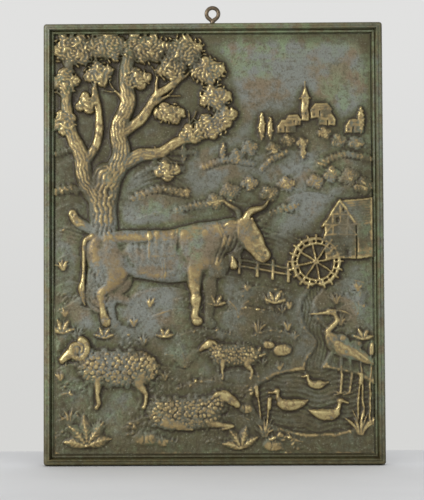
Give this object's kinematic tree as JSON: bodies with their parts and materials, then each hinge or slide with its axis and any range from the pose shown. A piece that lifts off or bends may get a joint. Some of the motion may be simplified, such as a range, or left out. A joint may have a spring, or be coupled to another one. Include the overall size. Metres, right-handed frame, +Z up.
{
  "type": "relief plaque",
  "caption": "Rectangular cast wall plaque with a moulded frame, a country scene in relief, a recessed back and a screw eye at the top to hang it by.",
  "frame": {"origin": "middle of the flat top rim of the plaque's back, behind the hanging eye, where the plaque meets the wall", "axes": "+Z up along the plaque's height, -Y out of its face, +Y into the wall, +X to the viewer's right"},
  "size_m": [0.28, 0.0127, 0.3787],
  "materials": {
    "patinated_casting": "dark green-grey patina, rubbed to gold on the high points",
    "dark_wire": "dull brown, tarnished"
  },
  "bodies": {
    "root": {"plaque": "patinated_casting", "hanging_eye": "dark_wire"}
  },
  "joints": []
}
